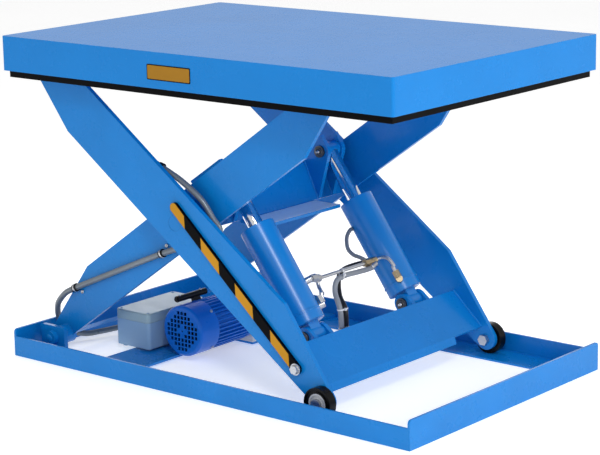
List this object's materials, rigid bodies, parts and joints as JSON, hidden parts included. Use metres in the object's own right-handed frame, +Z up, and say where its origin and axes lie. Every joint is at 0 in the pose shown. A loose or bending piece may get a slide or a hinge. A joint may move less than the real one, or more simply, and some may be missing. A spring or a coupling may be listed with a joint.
{
  "type": "scissor lift table",
  "caption": "Hydraulic scissor lift table: a flat deck on crossed arms with rollers, twin cylinders, a low motor and pump, and a service prop, on a frame.",
  "frame": {"origin": "on the floor under the middle of the base frame", "axes": "+X along the table towards the roller end, -Y the front, +Z up; stored raised"},
  "size_m": [1.25, 0.8, 0.82],
  "materials": {
    "blue_paint": "glossy blue enamel",
    "motor_paint": "semi-gloss dark blue enamel",
    "steel": "bright zinc-plated steel",
    "pin_steel": "dull turned steel",
    "chrome": "hard chrome, polished",
    "black_paint": "satin black enamel with orange slanted stripes on the prop",
    "tyre": "black moulded tread",
    "hub": "pale grey moulded hub",
    "grey_plastic": "grey moulded box",
    "lid_plastic": "pale grey moulded lid",
    "black_plastic": "black moulded plastic",
    "conduit": "grey smooth conduit",
    "hose": "smooth black and grey hose",
    "brass": "turned brass",
    "aluminium": "machined aluminium",
    "tank": "translucent white moulded tank"
  },
  "bodies": {
    "base": {"base_rail_front": "blue_paint", "base_rail_rear": "blue_paint", "base_end_plate_fixed": "blue_paint", "base_end_plate_roller": "blue_paint", "base_floor_plate": "blue_paint", "base_pivot_lugs": "blue_paint", "base_pivot_pins": "blue_paint", "motor_frame": "motor_paint", "motor_fan_cover": "motor_paint", "motor_capacitor": "black_plastic", "pump_block": "aluminium", "oil_tank": "tank", "control_box": "grey_plastic", "control_box_lid": "lid_plastic", "conduit_base": "conduit"},
    "motor_rotor": {"motor_shaft": "steel", "motor_fan": "black_plastic"},
    "inner_arms": {"inner_arm_front": "blue_paint", "inner_arm_rear": "blue_paint", "inner_lower_tie": "blue_paint", "inner_upper_tie": "blue_paint", "rod_lugs": "blue_paint", "rod_pins": "pin_steel", "upper_roller_axles": "steel", "conduit_clips_inner": "black_plastic", "conduit_inner": "conduit"},
    "outer_arms": {"outer_arm_front": "blue_paint", "outer_arm_rear": "blue_paint", "outer_tie": "blue_paint", "barrel_lugs": "blue_paint", "barrel_pins": "pin_steel", "lower_roller_axles": "steel", "centre_pins": "blue_paint", "service_prop": "black_paint", "prop_bolt": "steel", "conduit_clip_outer": "black_plastic", "conduit_outer": "conduit", "hose_unions": "steel"},
    "lower_roller_front": {"lower_tyre_front": "tyre", "lower_hub_front": "hub"},
    "lower_roller_rear": {"lower_tyre_rear": "tyre", "lower_hub_rear": "hub"},
    "upper_roller_front": {"upper_roller_front": "steel"},
    "upper_roller_rear": {"upper_roller_rear": "steel"},
    "table": {"table_top": "blue_paint", "table_pivot_lugs": "blue_paint", "table_pivot_pins": "steel", "roller_tracks": "blue_paint", "trip_brackets": "blue_paint"},
    "trip": {"trip_frame": "black_paint", "trip_studs": "steel"},
    "cylinder_barrels": {"barrel_front": "blue_paint", "barrel_rear": "blue_paint", "hydraulic_pipes": "steel", "pipe_fittings": "brass", "hydraulic_hoses": "hose"},
    "cylinder_rods": {"rod_front": "chrome", "rod_rear": "chrome", "rod_eyes": "blue_paint"}
  },
  "joints": [
    {"name": "lift", "type": "hinge", "parent": "base", "child": "inner_arms", "pos_m": [-0.556, 0, 0.0438], "axis": [0, -1, 0], "range_deg": [-30.94, 0], "deforming": ["conduit_base"]},
    {"name": "scissor_centre", "type": "hinge", "parent": "inner_arms", "child": "outer_arms", "pos_m": [-0.109, 0, 0.4009], "axis": [0, -1, 0], "range_deg": [0, 61.93], "deforming": ["conduit_outer"]},
    {"name": "table_pivot", "type": "hinge", "parent": "outer_arms", "child": "table", "pos_m": [-0.556, 0, 0.758], "axis": [0, -1, 0], "range_deg": [-30.99, 0.05]},
    {"name": "barrel_pivot", "type": "hinge", "parent": "outer_arms", "child": "cylinder_barrels", "pos_m": [0.20065, 0, 0.14841], "axis": [0, -1, 0], "range_deg": [-0.86, 0.5], "deforming": ["hydraulic_hoses"]},
    {"name": "rod_slide", "type": "slide", "parent": "cylinder_barrels", "child": "cylinder_rods", "axis": [-0.5829, 0, 0.8126], "range_m": [-0.1204, 0]},
    {"name": "lower_roller_front_spin", "type": "hinge", "parent": "outer_arms", "child": "lower_roller_front", "pos_m": [0.338, -0.3385, 0.0438], "axis": [0, 1, 0], "continuous": true},
    {"name": "lower_roller_rear_spin", "type": "hinge", "parent": "outer_arms", "child": "lower_roller_rear", "pos_m": [0.338, 0.3385, 0.0438], "axis": [0, 1, 0], "continuous": true},
    {"name": "upper_roller_front_spin", "type": "hinge", "parent": "inner_arms", "child": "upper_roller_front", "pos_m": [0.338, -0.2785, 0.758], "axis": [0, 1, 0], "continuous": true},
    {"name": "upper_roller_rear_spin", "type": "hinge", "parent": "inner_arms", "child": "upper_roller_rear", "pos_m": [0.338, 0.2785, 0.758], "axis": [0, 1, 0], "continuous": true},
    {"name": "trip_lift", "type": "slide", "parent": "table", "child": "trip", "axis": [0, 0, 1], "range_m": [0, 0.004]},
    {"name": "motor_spin", "type": "hinge", "parent": "base", "child": "motor_rotor", "pos_m": [-0.24, 0, 0.079], "axis": [0, 1, 0], "continuous": true}
  ],
  "couplings": [
    {"joint": "scissor_centre", "follows": "lift", "ratio": -2},
    {"joint": "table_pivot", "follows": "lift", "ratio": 1},
    {"joint": "barrel_pivot", "follows": "lift", "ratio": 0.01097},
    {"joint": "rod_slide", "follows": "lift", "m_per_rad": 0.22241}
  ]
}
